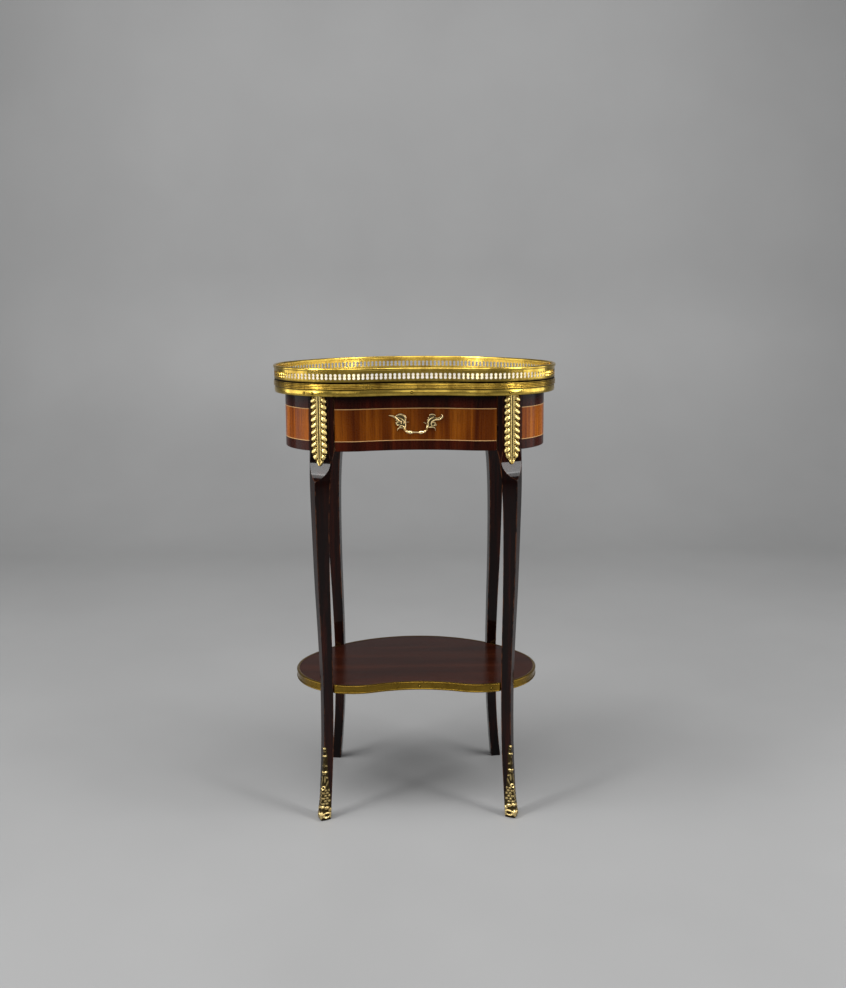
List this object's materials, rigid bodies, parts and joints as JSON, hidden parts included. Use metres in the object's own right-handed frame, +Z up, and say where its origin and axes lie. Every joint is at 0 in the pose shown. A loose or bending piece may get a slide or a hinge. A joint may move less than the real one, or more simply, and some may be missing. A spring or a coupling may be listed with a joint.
{
  "type": "gueridon",
  "caption": "Kidney-shaped side table with a pierced brass gallery round a marble top, a drawer in the curved case, bent tapering legs with gilt mounts and a brass-edged lower shelf.",
  "frame": {"origin": "floor level, under the middle of the top's outline", "axes": "+Z up, -Y the front with the drawer, +X to the right of a person facing the front"},
  "size_m": [0.445, 0.3, 0.71],
  "materials": {
    "brass": "polished brass, slightly patinated",
    "gilt": "cast brass, gilt and rubbed",
    "marble": "polished white marble",
    "veneer": "french-polished striped veneer",
    "mahogany": "dark polished mahogany",
    "carcase_wood": "plain unpolished wood"
  },
  "bodies": {
    "table": {"gallery_strip": "brass", "gallery_rim": "brass", "reeded_moulding": "brass", "plain_band": "brass", "front_edging": "brass", "right_edging": "brass", "back_edging": "brass", "left_edging": "brass", "front_left_chute": "gilt", "front_right_chute": "gilt", "front_left_sabot": "gilt", "front_right_sabot": "gilt", "marble_top": "marble", "left_apron": "veneer", "right_apron": "veneer", "back_apron": "veneer", "front_left_leg": "mahogany", "front_right_leg": "mahogany", "back_left_leg": "mahogany", "back_right_leg": "mahogany", "shelf_board": "mahogany", "top_board": "carcase_wood", "front_rail": "carcase_wood", "left_runner": "carcase_wood", "right_runner": "carcase_wood", "glue_blocks": "carcase_wood", "apron_tenons": "carcase_wood"},
    "drawer": {"drawer_front": "veneer", "drawer_left_side": "carcase_wood", "drawer_right_side": "carcase_wood", "drawer_back": "carcase_wood", "drawer_bottom": "carcase_wood", "drawer_pull": "gilt"}
  },
  "joints": [
    {"name": "drawer_slide", "type": "slide", "parent": "table", "child": "drawer", "axis": [0, -1, 0], "range_m": [0, 0.14]}
  ]
}
